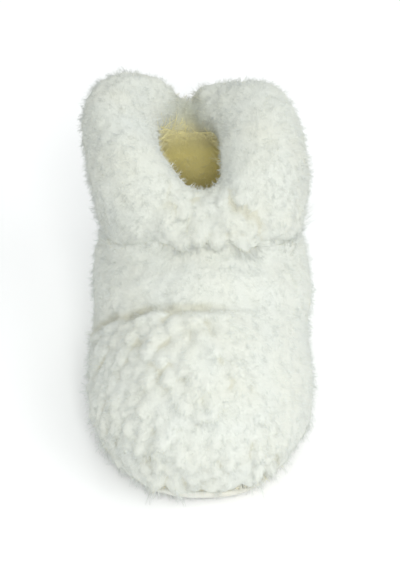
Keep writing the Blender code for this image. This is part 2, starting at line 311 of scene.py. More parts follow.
def lock_field(points, flow, nap, centres, chance, side):
    """The lock that stands highest at each point, its height as a share of the rise, and its tip share.

    A lock starts flush at its root, rises along the flow to a rounded tip and falls off steeply there.
    """
    tree = tree_of(points[centres])
    near = np.array([[found[1] for found in tree.find_n(p, 14)] for p in points])
    way = unit(flow[centres] + 0.7 * (chance[:, 3:6] - 0.5))
    wide = nap.spacing[centres] * (0.40 + 0.24 * chance[:, 2])
    long = wide * nap.stretch[centres]
    tall = 0.55 + 0.45 * chance[:, 0]
    step = points[:, None, :] - points[centres][near]
    run = np.sum(step * way[near], axis=2)
    across = np.sqrt(np.maximum(np.sum(step**2, axis=2) - run**2, 0.0)) / wide[near]
    run = run / long[near]
    tip = rise(run, -1.1, 0.35)
    body = tip * (1.0 - rise(run, 0.35, 1.1)) * np.maximum(1.0 - across**2, 0.0) ** 0.7
    body = body * tall[near] * (side[centres][near] == side[:, None])
    own = np.argmax(body, axis=1)[:, None]
    lock, height, tip = (np.take_along_axis(values, own, axis=1)[:, 0] for values in (near, body, tip))
    return lock, height, tip * rise(height, 0.0, 0.3)


def raise_locks(data, inset, nap, flow, side, allowed, seed, painted_valley_shade=0.0):
    """Moves the bed in by inset, raises its locks and stores what the fibres read.

    A valley along the seam gets the same painted shade as the gaps between locks.
    """
    points, normals = points_of(data), normals_of(data)
    shaken = points + 0.8 * np.stack([soft_noise(points, 4.0, seed + k) for k in range(3)], axis=1)
    centres = lock_centres(shaken, 0.68 * nap.spacing, allowed, seed)
    chance = np.random.default_rng(seed + 1).random((len(centres), 6))
    lock, height, tip = lock_field(shaken, flow, nap, centres, chance, side)
    way = unit(flow + 0.7 * (chance[lock, 3:6] - 0.5))
    lift = nap.rise * height + nap.swell * soft_noise(points, 15.0, seed + 7)
    slide = nap.slide * (0.3 + 1.2 * chance[lock, 1]) * height * tip
    raised = points - normals * inset[:, None]
    raised = raised + normals * (lift * allowed)[:, None] + way * (slide * allowed)[:, None]
    raised = relaxed(data, raised, 3, 0.4)
    move_points(data, raised)
    tips = raised[centres][lock] - raised
    upright = normals_of(data)
    level = tips - upright * np.sum(tips * upright, axis=1, keepdims=True)
    keep(data, "flow", way)
    keep(data, "gather", level * nap.gather[:, None] * MM)
    keep(data, "length", nap.length * (0.8 + 0.4 * chance[lock, 0]) * MM)
    keep(data, "lean", nap.lean)
    keep(data, "curl", nap.curl * MM)
    keep(data, "phase", chance[lock, 1])
    # The gap share drives painted shade: bed and fibres turn duller and warmer between the locks
    gap = (1.0 - rise(height, 0.0, 0.5)) * allowed * rise(nap.rise, 0.4, 2.6)
    keep(data, "gap", np.maximum(gap, painted_valley_shade))


# Node trees written as formulas

class Recipe:
    """A node tree whose formulas are written as calls.

    A value may be a number, a vector or another node's socket.
    """

    def __init__(self, tree):
        self.tree = tree

    def node(self, kind, settings=None, **values):
        made = self.tree.nodes.new(kind)
        for key, value in (settings or {}).items():
            setattr(made, key, value)
        for key, value in values.items():
            self.give(made.inputs[key.replace("_", " ")], value)
        return made

    def give(self, socket, value):
        if isinstance(value, bpy.types.NodeSocket):
            self.tree.links.new(value, socket)
        elif value is not None:
            socket.default_value = value

    def maths(self, operation, *values):
        made = self.node("ShaderNodeMath", {"operation": operation})
        for socket, value in zip(made.inputs, values):
            self.give(socket, value)
        return made.outputs[0]

    def vector(self, operation, *values):
        made = self.node("ShaderNodeVectorMath", {"operation": operation})
        sockets = [made.inputs["Vector"], made.inputs["Scale"]] if operation == "SCALE" else made.inputs
        for socket, value in zip(sockets, values):
            self.give(socket, value)
        return made.outputs["Value"] if operation in ("LENGTH", "DOT_PRODUCT") else made.outputs["Vector"]

    def named(self, name, kind="FLOAT"):
        made = self.node("GeometryNodeInputNamedAttribute", {"data_type": kind}, Name=name)
        return made.outputs["Attribute"]

    def store(self, geometry, name, value, kind="FLOAT", domain="POINT"):
        settings = {"data_type": kind, "domain": domain}
        return self.node("GeometryNodeStoreNamedAttribute", settings, Geometry=geometry, Name=name,
                         Value=value).outputs[0]

    def chance(self, seed, kind="FLOAT", low=0.0, high=1.0):
        made = self.node("FunctionNodeRandomValue", {"data_type": kind}, Seed=seed)
        shown = [socket for socket in made.inputs if socket.enabled and socket.name in ("Min", "Max")]
        for socket, value in zip(shown, (low, high)):
            socket.default_value = value
        return next(socket for socket in made.outputs if socket.enabled)


def tree_with_inputs(name, inputs):
    """A Geometry Nodes tree with named inputs, and its recipe and input sockets."""
    tree = bpy.data.node_groups.new(name, "GeometryNodeTree")
    tree.interface.new_socket("Geometry", in_out="INPUT", socket_type="NodeSocketGeometry")
    for label, kind in inputs.items():
        tree.interface.new_socket(label, in_out="INPUT", socket_type=f"NodeSocket{kind}")
    tree.interface.new_socket("Geometry", in_out="OUTPUT", socket_type="NodeSocketGeometry")
    recipe = Recipe(tree)
    return tree, recipe, recipe.node("NodeGroupInput").outputs


def grown(name, source, tree, values):
    """A plain mesh object made by running a Geometry Nodes tree on a source object's mesh."""
    made = new_object(name, source.data.copy())
    grow = made.modifiers.new("grow", "NODES")
    grow.node_group = tree
    for item in tree.interface.items_tree:
        if item.in_out == "INPUT" and item.name in values:
            grow[item.identifier] = values[item.name]
    return applied(made)


def fibre_tree():
    """Grows curled, tapered wool fibres over a bed, along its stored flow and gathered towards its locks."""
    inputs = {"Cover": "String", "Spacing": "Float", "Seed": "Int", "Thickness": "Float", "Turns": "Float",
              "Spread": "Float", "Droop": "Float", "Joints": "Int", "Softness": "Float", "Wisp": "Float",
              "Clump": "Float", "Wool": "Material"}
    tree, recipe, given = tree_with_inputs("wool_fibres", inputs)
    vector, maths = recipe.vector, recipe.maths
    densest = maths("DIVIDE", 1.6, maths("MULTIPLY", given["Spacing"], given["Spacing"]))
    cover = recipe.named(given["Cover"])
    scatter = recipe.node("GeometryNodeDistributePointsOnFaces", {"distribute_method": "POISSON"},
                          Mesh=given["Geometry"], Distance_Min=given["Spacing"], Density_Max=densest,
                          Density_Factor=cover, Seed=given["Seed"])
    points, normal = scatter.outputs["Points"], scatter.outputs["Normal"]
    seed = given["Seed"]
    chance = recipe.chance(seed)
    jitter = recipe.chance(maths("ADD", seed, 1.0), "FLOAT_VECTOR", (-1.0,) * 3, (1.0,) * 3)
    twist = recipe.chance(maths("ADD", seed, 2.0), "FLOAT_VECTOR", (-1.0,) * 3, (1.0,) * 3)
    tone = recipe.chance(maths("ADD", seed, 3.0))
    position = recipe.node("GeometryNodeInputPosition").outputs[0]
    wisps = maths("DIVIDE", 1.0, given["Wisp"])
    wisp = recipe.node("ShaderNodeTexVoronoi", Vector=position, Scale=wisps).outputs
    wisp_chance = recipe.node("ShaderNodeSeparateXYZ", Vector=wisp["Color"]).outputs
    pull = vector("SUBTRACT", wisp["Position"], position)
    pull = vector("SUBTRACT", pull, vector("SCALE", normal, vector("DOT_PRODUCT", pull, normal)))
    pull = vector("ADD", vector("SCALE", pull, given["Clump"]), recipe.named("gather", "FLOAT_VECTOR"))
    tone = maths("MULTIPLY_ADD", wisp_chance["X"], 0.5, maths("MULTIPLY", tone, 0.5))
    # Warmth: a random tone for each fibre and wisp, painted shade in the gaps, and the lining's colour
    warmth_and_shade = maths("MULTIPLY_ADD", tone, 0.22, maths("MULTIPLY", recipe.named("gap"), 0.5))
    warmth_and_shade = maths("ADD", warmth_and_shade, maths("MULTIPLY", recipe.named("lining"), 0.7))
    warmth_and_shade = maths("MINIMUM", warmth_and_shade, 0.98)
    lean, flow = recipe.named("lean"), recipe.named("flow", "FLOAT_VECTOR")
    aim = vector("ADD", vector("SCALE", normal, maths("SUBTRACT", 1.0, lean)), vector("SCALE", flow, lean))
    aim = vector("ADD", aim, vector("SCALE", jitter, given["Spread"]))
    aim = vector("NORMALIZE", vector("ADD", aim, vector("SUBTRACT", wisp["Color"], (0.5, 0.5, 0.5))))
    side = vector("NORMALIZE", vector("CROSS_PRODUCT", aim, twist))
    other_side = vector("CROSS_PRODUCT", aim, side)
    long = maths("MULTIPLY", recipe.named("length"), maths("MULTIPLY_ADD", chance, 0.4, 0.45))
    long = maths("MULTIPLY", long, maths("MULTIPLY_ADD", wisp_chance["Y"], 0.8, 1.0))
    phase = maths("MULTIPLY_ADD", tone, 0.3, recipe.named("phase"))
    root = vector("SUBTRACT", position, vector("SCALE", normal, ROOT_DEPTH * MM))
    stored_vectors = {"root": root, "aim": aim, "side": side, "other_side": other_side, "upright": normal,
                      "pull": pull}
    for label, value in stored_vectors.items():
        points = recipe.store(points, label, value, "FLOAT_VECTOR")
    stored_values = {"long": long, "turned": phase, "warmth_and_shade": warmth_and_shade, "stout": chance}
    for label, value in stored_values.items():
        points = recipe.store(points, label, value)
    line = recipe.node("GeometryNodeCurvePrimitiveLine", {"mode": "POINTS"}, End=(0.0, 0.0, 0.001)).outputs[0]
    line = recipe.node("GeometryNodeResampleCurve", Curve=line, Count=given["Joints"]).outputs[0]
    fibres = recipe.node("GeometryNodeInstanceOnPoints", Points=points, Instance=line).outputs[0]
    fibres = recipe.node("GeometryNodeRealizeInstances", Geometry=fibres).outputs[0]
    t = recipe.node("GeometryNodeSplineParameter").outputs["Factor"]
    fibres = recipe.store(fibres, "along", t)
    squared = maths("MULTIPLY", t, t)
    turn = maths("MULTIPLY", maths("MULTIPLY_ADD", t, given["Turns"], recipe.named("turned")), 2.0 * math.pi)
    reach = maths("MULTIPLY", t, recipe.named("curl"))
    straight = maths("MULTIPLY", recipe.named("long"), t)
    straight = vector("SCALE", recipe.named("aim", "FLOAT_VECTOR"), straight)
    place = vector("ADD", recipe.named("root", "FLOAT_VECTOR"), straight)
    bend = maths("MULTIPLY", maths("MULTIPLY", recipe.named("long"), given["Droop"]), squared)
    place = vector("ADD", place, vector("SCALE", recipe.named("flow", "FLOAT_VECTOR"), bend))
    place = vector("ADD", place, vector("SCALE", recipe.named("pull", "FLOAT_VECTOR"), t))
    for label, wave in (("side", "COSINE"), ("other_side", "SINE")):
        swing = maths("MULTIPLY", maths(wave, turn), reach)
        place = vector("ADD", place, vector("SCALE", recipe.named(label, "FLOAT_VECTOR"), swing))
    x, y, z = recipe.node("ShaderNodeSeparateXYZ", Vector=place).outputs
    place = recipe.node("ShaderNodeCombineXYZ", X=x, Y=y, Z=maths("MAXIMUM", z, LEAST_HEIGHT * MM)).outputs[0]
    fibres = recipe.node("GeometryNodeSetPosition", Geometry=fibres, Position=place).outputs[0]
    taper = maths("MULTIPLY_ADD", t, -0.72, 1.0)
    radius = maths("MULTIPLY", maths("MULTIPLY", given["Thickness"], taper),
                   maths("MULTIPLY_ADD", recipe.named("stout"), 0.5, 0.75))
    ring = recipe.node("GeometryNodeCurvePrimitiveCircle", Resolution=3, Radius=1.0).outputs[0]
    tubes = recipe.node("GeometryNodeCurveToMesh", Curve=fibres, Profile_Curve=ring, Scale=radius,
                        Fill_Caps=True).outputs[0]
    tubes = recipe.node("GeometryNodeSetShadeSmooth", Geometry=tubes, Shade_Smooth=True).outputs[0]
    round_normal = recipe.node("GeometryNodeInputNormal").outputs[0]
    upright = vector("SCALE", recipe.named("upright", "FLOAT_VECTOR"), given["Softness"])
    soft = vector("ADD", upright, round_normal)
    tubes = recipe.node("GeometryNodeSetMeshNormal", {"mode": "FREE", "domain": "POINT"}, Mesh=tubes,
                        Custom_Normal=vector("NORMALIZE", soft)).outputs[0]
    spot = recipe.node("ShaderNodeCombineXYZ", X=recipe.named("warmth_and_shade"), Y=recipe.named("along")).outputs[0]
    tubes = recipe.store(tubes, "OFBake", spot, "FLOAT2", "CORNER")
    tubes = recipe.node("GeometryNodeRealizeInstances", Geometry=tubes).outputs[0]
    tubes = recipe.node("GeometryNodeSetMaterial", Geometry=tubes, Material=given["Wool"]).outputs[0]
    recipe.node("NodeGroupOutput", Geometry=tubes)
    return tree


# Materials

def surface(name, roughness, sheen):
    """A material and the recipe of its nodes, with what is the same all over set on the shader."""
    made = bpy.data.materials.new(name)
    made.use_nodes = True
    shader = made.node_tree.nodes["Principled BSDF"]
    shader.inputs["Roughness"].default_value = roughness
    shader.inputs["Sheen Weight"].default_value = sheen
    shader.inputs["Sheen Roughness"].default_value = 0.6
    shader.inputs["Specular IOR Level"].default_value = 0.15
    return made, Recipe(made.node_tree), shader


def mixed(recipe, share, one, two):
    """A colour between one and two, by share."""
    made = recipe.node("ShaderNodeMix", {"data_type": "RGBA"})
    for socket, value in zip([made.inputs[0], made.inputs[6], made.inputs[7]], (share, one, two)):
        recipe.give(socket, value)
    return made.outputs[2]


def nap_grain_group():
    """Fine fibre grain, shared by the soft surfaces: a height for bump and a slow stain for colour."""
    group = bpy.data.node_groups.new("nap_grain", "ShaderNodeTree")
    for label, value in (("Grain", 900.0), ("Stain", 60.0)):
        group.interface.new_socket(label, in_out="INPUT", socket_type="NodeSocketFloat").default_value = value
    for label in ("Height", "Stain"):
        group.interface.new_socket(label, in_out="OUTPUT", socket_type="NodeSocketFloat")
    recipe = Recipe(group)
    given = recipe.node("NodeGroupInput").outputs
    place = recipe.node("ShaderNodeTexCoord").outputs["Object"]
    fine = recipe.node("ShaderNodeTexNoise", Vector=place, Scale=given["Grain"], Detail=4.0, Roughness=0.65,
                       Distortion=0.6).outputs[0]
    slow = recipe.node("ShaderNodeTexNoise", Vector=place, Scale=given["Stain"], Detail=2.0).outputs[0]
    recipe.node("NodeGroupOutput", Height=fine, Stain=slow)
    return group


NAP_GRAIN = nap_grain_group()
WOOL_TIP = (0.735, 0.775, 0.75, 1.0)
CUFF_TIP = (0.69, 0.725, 0.70, 1.0)
# Painted shade: dark grey-khaki for the cuff's inner back and notch, where its lining lies in shade
CUFF_LINING_PAINTED_SHADE = (0.41, 0.43, 0.37, 1.0)
# Warm tone of the wool, also the colour of painted shade on fibres in the gaps
WOOL_WARM = (0.71, 0.69, 0.55, 1.0)
WOOL_ROOT = (0.82, 0.78, 0.60, 1.0)
WOOL_BED = (0.675, 0.705, 0.67, 1.0)
CUFF_BED = (0.625, 0.655, 0.62, 1.0)
# Painted shade: the duller khaki of the bed in the gaps between locks and along the seam
WOOL_GAP_PAINTED_SHADE = (0.56, 0.55, 0.44, 1.0)
FLEECE = (1.0, 0.90, 0.37, 1.0)
# Painted shade: darker khaki for the lining towards the top of the collar, on the upper and inside the cuff
COLLAR_FLEECE_PAINTED_SHADE = (0.68, 0.63, 0.36, 1.0)


def grain(recipe, fine, stain):
    """Places the shared nap grain in a material."""
    return recipe.node("ShaderNodeGroup", {"node_tree": NAP_GRAIN}, Grain=fine, Stain=stain).outputs


def bump(recipe, shader, height, strength, depth):
    made = recipe.node("ShaderNodeBump", Strength=strength, Distance=depth * MM, Height=height)
    recipe.give(shader.inputs["Normal"], made.outputs[0])


def fibre_wool(name, tip_colour, lining_and_shade_colour):
    """Pale at the tips and creamy at the root, with a tone of its own for each fibre. In the gaps the fibres
    go warm as painted shade, and on the lining towards its colour, which inside the cuff is painted shade.
    """
    made, recipe, shader = surface(name, 0.95, 0.25)
    spot = recipe.node("ShaderNodeUVMap", {"uv_map": "OFBake"}).outputs[0]
    parts = recipe.node("ShaderNodeSeparateXYZ", Vector=spot).outputs
    tip = recipe.node("ShaderNodeMapRange", {"interpolation_type": "SMOOTHSTEP"}, Value=parts["Y"],
                      From_Min=0.0, From_Max=0.45).outputs[0]
    warm = recipe.node("ShaderNodeMapRange", Value=parts["X"], From_Min=0.0, From_Max=0.7).outputs[0]
    creamy = recipe.node("ShaderNodeMapRange", Value=parts["X"], From_Min=0.55, From_Max=0.98).outputs[0]
    colour = mixed(recipe, creamy, mixed(recipe, warm, tip_colour, WOOL_WARM), lining_and_shade_colour)
    root = mixed(recipe, creamy, WOOL_ROOT, lining_and_shade_colour)
    recipe.give(shader.inputs["Base Color"], mixed(recipe, tip, root, colour))
    return made


def bed_wool(name, bed_colour, lining_and_shade_colour, collar_shade_colour):
    """Wool between the fibres: pale on its locks, with painted shade in the gaps, coloured apart on the
    lining, where painted shade darkens it at the collar and inside the cuff.
    """
    made, recipe, shader = surface(name, 0.97, 0.2)
    fine = grain(recipe, 1100.0, 70.0)
    gap = recipe.node("ShaderNodeAttribute", {"attribute_name": "gap"}).outputs["Fac"]
    lining = recipe.node("ShaderNodeAttribute", {"attribute_name": "lining"}).outputs["Fac"]
    # Painted shade: the bed turns towards the gap colour between the locks
    deep = recipe.node("ShaderNodeMapRange", {"interpolation_type": "SMOOTHSTEP"}, Value=gap,
                       From_Min=0.2, From_Max=0.9).outputs[0]
    deep = recipe.maths("MULTIPLY", deep, 0.65)
    white = mixed(recipe, recipe.maths("MULTIPLY", fine["Stain"], 0.5), bed_colour, WOOL_WARM)
    colour = mixed(recipe, deep, white, WOOL_GAP_PAINTED_SHADE)
    # Painted shade inside: the collar mark draws the lining colour towards the darker collar shade
    collar = recipe.node("ShaderNodeAttribute", {"attribute_name": "collar"}).outputs["Fac"]
    inside = mixed(recipe, collar, lining_and_shade_colour, collar_shade_colour)
    recipe.give(shader.inputs["Base Color"], mixed(recipe, lining, colour, inside))
    bump(recipe, shader, fine["Height"], 0.7, 0.6)
    return made


def fleece():
    """Short cream fleece of the footbed."""
    made, recipe, shader = surface("fleece", 0.97, 0.2)
    fine = grain(recipe, 800.0, 90.0)
    cream, paler = (0.93, 0.86, 0.56, 1.0), (0.88, 0.84, 0.70, 1.0)
    recipe.give(shader.inputs["Base Color"], mixed(recipe, fine["Stain"], cream, paler))
    bump(recipe, shader, fine["Height"], 0.8, 0.7)
    return made


def suede():
    """Pale napped suede of the sole, with slow patches a little darker, as from handling."""
    made, recipe, shader = surface("suede", 0.88, 0.15)
    fine = grain(recipe, 1500.0, 45.0)
    pale, darker = (0.78, 0.79, 0.74, 1.0), (0.66, 0.64, 0.55, 1.0)
    worn = recipe.node("ShaderNodeMapRange", Value=fine["Stain"], From_Min=0.35, From_Max=0.75).outputs[0]
    recipe.give(shader.inputs["Base Color"], mixed(recipe, worn, pale, darker))
    bump(recipe, shader, fine["Height"], 0.5, 0.25)
    return made


def thread():
    """Waxed cream thread, ribbed by its twist, with painted shade in the grooves of the twist."""
    made, recipe, shader = surface("thread", 0.7, 0.1)
    place = recipe.node("ShaderNodeTexCoord").outputs["Object"]
    twist = recipe.node("ShaderNodeTexWave", {"bands_direction": "DIAGONAL"}, Vector=place,
                        Scale=900.0).outputs[0]
    shaded_groove, crest = (0.80, 0.72, 0.48, 1.0), (0.88, 0.82, 0.62, 1.0)
    recipe.give(shader.inputs["Base Color"], mixed(recipe, twist, shaded_groove, crest))
    bump(recipe, shader, twist, 0.4, 0.1)
    return made


# The upper

def leaned(points):
    """The points with the collar's opening drawn to the left and the collar's other moves made."""
    x, y, z = points.T
    mouth = rise(z, 62.0, 86.0) * (1.0 - rise(np.abs(x), 16.0, 30.0))
    mouth = mouth * rise(y, 8.0, 22.0) * (1.0 - rise(y, 38.0, 50.0))
    moved = points - mouth[:, None] * [3.0, 0.0, 0.0]
    for place, reach, way in COLLAR_MOVES.values():
        share = np.exp(-np.sum(((points - place) / reach) ** 2, axis=1))
        moved = moved + share[:, None] * way
    return moved


def facing_out(points, normals):
    """1 where the wall faces away from the foot, 0 on the lining."""
    high = rise(points[:, 2], 38.0, 50.0) * rise(points[:, 1], 0.0, 10.0)
    middle = np.zeros_like(points)
    middle[:, 0] = MIDDLE_X
    along_foot, up_collar = np.clip(points[:, 1], -38.0, 32.0), np.clip(points[:, 1], 20.0, 34.0)
    middle[:, 1] = (1.0 - high) * along_foot + high * up_collar
    middle[:, 2] = (1.0 - high) * np.clip(points[:, 2], 14.0, 26.0) + high * points[:, 2]
    return rise(np.sum(unit(points - middle) * normals, axis=1), -0.15, 0.15)


def seam_distance(points):
    """Distance in front of (negative) or behind the seam, with a slight wander."""
    line = SEAM_Y + SEAM_LEAN * (SEAM_TOP - points[:, 2])
    return points[:, 1] - line + 1.2 * soft_noise(points, 9.0, 11)


def cuff_edge_height(points):
    """Height of the cuff's lower edge round the shoe: high at the instep, low at the heel."""
    ahead = points[:, 1] < 16.0
    turn = np.arctan2(points[:, 0] / 24.0, (points[:, 1] - 16.0) / np.where(ahead, 14.0, 34.0))
    return 56.0 + np.where(ahead, 12.5, -5.5) * np.cos(turn) ** 2


def upper_bed():
    """The upper's bed, with the step between toe piece and ankle piece smoothed out."""
    def carries_locks(points, normals):
        below_cuff = points[:, 2] < cuff_edge_height(points) + 5.0
        return (facing_out(points, normals) > 0.5) & below_cuff & (points[:, 2] > 6.0)

    made = bed("upper", "upper_pile", carries_locks, 14, BED_GRAIN)
    points = points_of(made.data)
    outer = facing_out(points, normals_of(made.data))
    at_seam = np.exp(-((seam_distance(points) / 7.0) ** 2)) * outer * rise(points[:, 2], 8.0, 16.0)
    move_points(made.data, relaxed(made.data, points, 40, 0.5 * at_seam[:, None]))
    return made


def dress_upper(made, look, from_edge):
    """Raises the upper's locks and marks where its fibres grow."""
    data = made.data
    at_edge = 1.0 - rise(from_edge, 1.0, 5.0)
    points, normals = points_of(data), normals_of(data)
    outer = facing_out(points, normals)
    behind = seam_distance(points)
    right = rise(points[:, 0], 8.0, 20.0)
    toe = smooth_step(0.5 - behind / (1.6 + 10.0 * right))
    ankle = 1.0 - toe
    front = rise(-normals[:, 1], 0.45, 0.85) * rise(-points[:, 1], 30.0, 46.0)
    left = rise(-points[:, 0], 16.0, 30.0)
    toe_top = outer * toe * (1.0 - front)
    weights = {
        TOE_LOCKS: outer * toe * front,
        TOE_BRUSHED: toe_top * right,
        TOE_SIDE_LOCKS: toe_top * left,
        TOE_CURLS: toe_top * (1.0 - right) * (1.0 - left),
        ANKLE_FLUFF: outer * ankle,
        LINING_PILE: 1.0 - outer,
    }
    nap = blended(weights)
    upwards = np.maximum(1.0 - outer, 1.0 - rise(from_edge, 3.0, 8.0))
    down = np.outer(2.0 * upwards - 1.0, [0.0, 0.0, 1.0])
    fan = unit((points - TOE_CROWN) * [1.0, 1.0, 0.4])
    flow = along_surface(down + fan * toe[:, None] * 0.9, normals)
    allowed = (outer > 0.5) & (points[:, 2] > LOWEST_LOCK)
    sewn = 1.0 - rise(points[:, 0], 0.0, 15.0)
    crease = np.exp(-((behind / 2.2) ** 2)) * (0.5 + 0.5 * rise(points[:, 2], 20.0, 50.0))
    crease = crease * (1.3 * sewn - 0.3) * (0.6 + 0.9 * soft_noise(points, 6.0, 17))
    toe_edge = np.exp(-(((behind + 4.0) / 4.0) ** 2)) * rise(points[:, 2], 25.0, 45.0) * (0.3 + 0.7 * sewn)
    # The wool's skirt stands out above the sole, and lower on the ankle piece, where it hides the lip's gap
    skirt = np.exp(-(((points[:, 2] - 11.0 + 4.0 * ankle) / 4.5) ** 2))
    nap = nap._replace(length=nap.length * (1.0 + 0.7 * skirt + 1.2 * at_edge))
    lifted = at_edge * (0.9 + 0.7 * soft_noise(points, 7.0, 29))
    inset = 0.2 + 2.4 * crease - 1.8 * skirt - 1.0 * toe_edge - lifted
    inset = inset * outer * rise(points[:, 2], 4.5 - 0.5 * ankle, 8.0 - 3.0 * ankle)
    # Painted shade along the seam valley, strongest at the left and the middle
    painted_valley_shade = np.exp(-(((behind - 0.5) / 2.6) ** 2)) * (1.0 - rise(points[:, 0], 4.0, 14.0))
    painted_valley_shade = painted_valley_shade * (0.8 + 0.6 * soft_noise(points, 7.0, 23)) * outer
    raise_locks(data, inset, nap, flow, toe > 0.5, allowed, 21, painted_valley_shade)
    shown = allowed * (points[:, 2] < cuff_edge_height(points) + 4.0)
    keep(data, "toe_left", shown * (toe > 0.5) * (points[:, 0] < MIDDLE_X))
    keep(data, "toe_right", shown * (toe > 0.5) * (points[:, 0] >= MIDDLE_X))
    keep(data, "ankle", shown * (toe <= 0.5))
    keep(data, "mouth", (1.0 - outer) * rise(points[:, 2], 48.0, 56.0) * rise(points[:, 1], 6.0, 14.0))
    keep(data, "lining", 1.0 - outer)
    # Painted shade: the lining darkens towards the top of the collar
    keep(data, "collar", rise(points[:, 2], 70.0, 85.0))
    data.materials.append(look)
    data.shade_smooth()


# The cuff

def from_collar(points):
    """Level unit vectors away from the middle of the collar."""
    return unit((points - COLLAR_MIDDLE) * [1.0, 0.7, 0.0])


def cuff_bed():
    """The cuff's bed, its lower edge ragged: let down at the sides and heel, and forwards over the instep."""
    def shows(points, normals):
        inwards = np.sum(from_collar(points) * normals, axis=1) < -0.3
        return ~inwards | (points[:, 2] > 81.0)

    made = bed("cuff", "cuff_pile", shows, 5, BED_GRAIN)
    points, normals = points_of(made.data), normals_of(made.data)
    out = from_collar(points)
    low = rise(cuff_edge_height(points) + 6.0 - points[:, 2], -5.0, 5.0)
    hidden = rise(-np.sum(out * normals, axis=1), 0.2, 0.5)
    ragged = low * (1.0 - hidden) * (2.0 + 4.0 * soft_noise(points, 11.0, 41))
    ahead = rise(10.0 - points[:, 1], 0.0, 8.0)[:, None]
    fall = unit(out * ahead - np.array([0.0, 0.0, 1.0]) * (1.0 - 0.8 * ahead))
    move_points(made.data, points + fall * ragged[:, None])
    return made


def dress_cuff(made, look, from_edge):
    """Raises the cuff's locks, marks where its fibres grow, and marks its inner back and notch for painted
    shade.
    """
    data = made.data
    at_edge = 1.0 - rise(from_edge, 1.0, 5.0)
    points, normals = points_of(data), normals_of(data)
    out = from_collar(points)
    outward = np.sum(out * normals, axis=1)
    down = np.tile([0.0, 0.0, -1.0], (len(points), 1))
    inside = rise(-outward, 0.0, 0.5)
    fingers = (1.0 - rise(from_edge, 9.0, 15.0)) * rise(8.0 - points[:, 1], 0.0, 8.0)
    fingers = fingers * (1.0 - rise(np.abs(points[:, 0] - 3.0), 13.0, 20.0)) * (1.0 - inside)
    flow = along_surface(down + out * (0.6 * (1.0 - inside))[:, None], normals)
    hidden = rise(-outward, 0.2, 0.5) * rise(84.0 - points[:, 2], 0.0, 4.0)
    under = rise(-normals[:, 2], 0.6, 0.9)
    weights = {
        CUFF_TUFTS: fingers,
        RIM_NAP: (1.0 - fingers) * inside,
        CUFF_NAP: (1.0 - fingers) * (1.0 - inside),
    }
    nap = blended(weights)
    flush = at_edge * (1.0 - fingers)
    nap = nap._replace(
        length=nap.length * (1.0 + 1.4 * at_edge * (1.0 - inside)),
        lean=nap.lean + 0.3 * at_edge,
        rise=nap.rise * (1.0 - 0.8 * flush),
        slide=nap.slide * (1.0 - flush),
        swell=nap.swell * (1.0 - 0.8 * flush),
    )
    allowed = hidden < 0.5
    inset = flush * (0.6 - 0.45 * inside) - 0.2 * (1.0 - hidden)
    one_side = np.zeros(len(points), dtype=bool)
    raise_locks(data, inset, nap, flow, one_side, allowed, 33)
    shown = allowed * (1.0 - under)
    keep(data, "cuff_left", shown * (points[:, 0] < MIDDLE_X))
    keep(data, "cuff_right", shown * (points[:, 0] >= MIDDLE_X))
    # The lining mark: the hidden faces, and as painted shade the inner back and the notch, which take the
    # cuff's dark lining colour
    deep = inside * (1.0 - rise(points[:, 2], 78.0, 95.0)) * rise(points[:, 1], 12.0, 24.0)
    wide = 4.0 + 0.7 * np.maximum(95.0 - points[:, 2], 0.0)
    notch = np.exp(-(((points[:, 0] + 4.0) / wide) ** 2)) * rise(-outward, -0.4, 0.1)
    notch = notch * rise(points[:, 1], 30.0, 38.0) * (1.0 - rise(points[:, 2], 91.0, 96.0))
    keep(data, "lining", np.maximum(hidden, np.maximum(deep, notch)))
    # Painted shade: the cuff's inside takes the collar's khaki low down and the darker cuff shade higher up
    keep(data, "collar", 1.0 - rise(points[:, 2], 80.0, 90.0))
    data.materials.append(look)
    data.shade_smooth()


# Sole, footbed and stitches

def smooth_copy(node, name, look, levels):
    """The welded node, rounded by subdivision, with a look of its own."""
    mesh = welded(node)
    data = bpy.data.meshes.new(name)
    mesh.to_mesh(data)
    mesh.free()
    made = new_object(name, data)
    rounder = made.modifiers.new("rounder", "SUBSURF")
    rounder.levels = rounder.render_levels = levels
    applied(made)
    made.data.materials.clear()
    made.data.materials.append(look)
    made.data.shade_smooth()
    return made


def lip_line(sole, inset, lift):
    """Points along the top edge of the sole, inset from its rim."""
    points = points_of(sole.data)
    offset = points[:, :2] - SOLE_MIDDLE
    bearing = np.arctan2(offset[:, 1], offset[:, 0])
    reach = np.linalg.norm(offset, axis=1)
    line = []
    for turn in np.linspace(-math.pi, math.pi, 97)[:-1]:
        near = np.abs((bearing - turn + math.pi) % (2.0 * math.pi) - math.pi) < 0.05
        rim = np.flatnonzero(near)[np.argmax(reach[near])]
        inner = near & (reach > reach[rim] - 2.5 * inset) & (reach < reach[rim] - 0.5 * inset)
        height = points[inner, 2].max() if inner.any() else points[rim, 2]
        spot = SOLE_MIDDLE + np.array([math.cos(turn), math.sin(turn)]) * (reach[rim] - inset)
        line.append((spot[0], spot[1], height + lift))
    return np.array(line)


